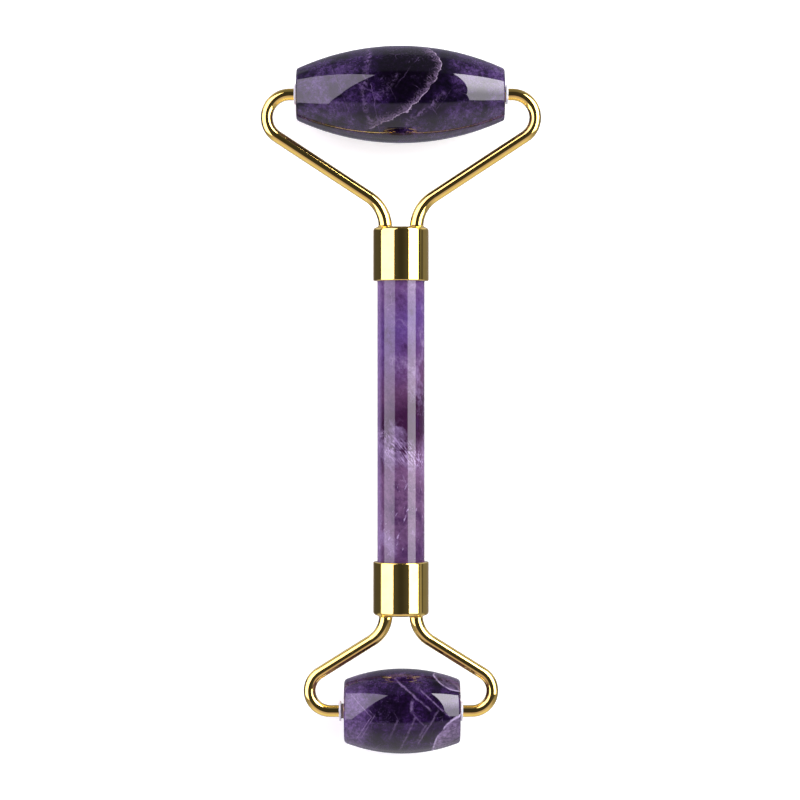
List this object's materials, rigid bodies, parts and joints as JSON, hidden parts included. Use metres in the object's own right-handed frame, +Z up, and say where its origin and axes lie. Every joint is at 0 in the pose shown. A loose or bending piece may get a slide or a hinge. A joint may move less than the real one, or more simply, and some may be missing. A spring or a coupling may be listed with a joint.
{
  "type": "face roller",
  "caption": "Double-ended face roller: polished amethyst handle with gold-plated wire forks, a large and a small barrel-shaped stone roller that spin freely.",
  "frame": {"origin": "bottom centre of the bounding box, on the table that both rollers rest on", "axes": "+Y along the handle towards the large roller, +Z up from the table, +X to the right when the large roller points away from the viewer; both roller axes lie along X"},
  "size_m": [0.0574, 0.145, 0.0199],
  "materials": {
    "handle_stone": "polished lavender to violet amethyst",
    "large_roller_stone": "polished dark violet amethyst with pale veins",
    "small_roller_stone": "polished banded amethyst",
    "gold_plate": "bright gold plating over a copper alloy",
    "braze": "gold-plated filler metal, slightly uneven",
    "white_nylon": "white moulded nylon",
    "tan_sleeve": "tan moulded plastic",
    "clear_resin": "cured epoxy resin"
  },
  "bodies": {
    "frame": {"handle": "handle_stone", "upper_cap": "gold_plate", "lower_cap": "gold_plate", "upper_adhesive": "clear_resin", "lower_adhesive": "clear_resin", "upper_left_arm": "gold_plate", "upper_right_arm": "gold_plate", "lower_left_arm": "gold_plate", "lower_right_arm": "gold_plate", "upper_left_brazing": "braze", "upper_right_brazing": "braze", "lower_left_brazing": "braze", "lower_right_brazing": "braze", "upper_left_washer": "white_nylon", "upper_right_washer": "white_nylon", "lower_left_washer": "white_nylon", "lower_right_washer": "white_nylon", "upper_left_sleeve": "tan_sleeve", "upper_right_sleeve": "tan_sleeve", "lower_left_sleeve": "tan_sleeve", "lower_right_sleeve": "tan_sleeve"},
    "large_roller": {"large_roller": "large_roller_stone"},
    "small_roller": {"small_roller": "small_roller_stone"}
  },
  "joints": [
    {"name": "large_roller_spin", "type": "hinge", "parent": "frame", "child": "large_roller", "pos_m": [0, 0.06257, 0.00995], "axis": [1, 0, 0], "continuous": true},
    {"name": "small_roller_spin", "type": "hinge", "parent": "frame", "child": "small_roller", "pos_m": [0, -0.06382, 0.0087], "axis": [1, 0, 0], "continuous": true}
  ]
}
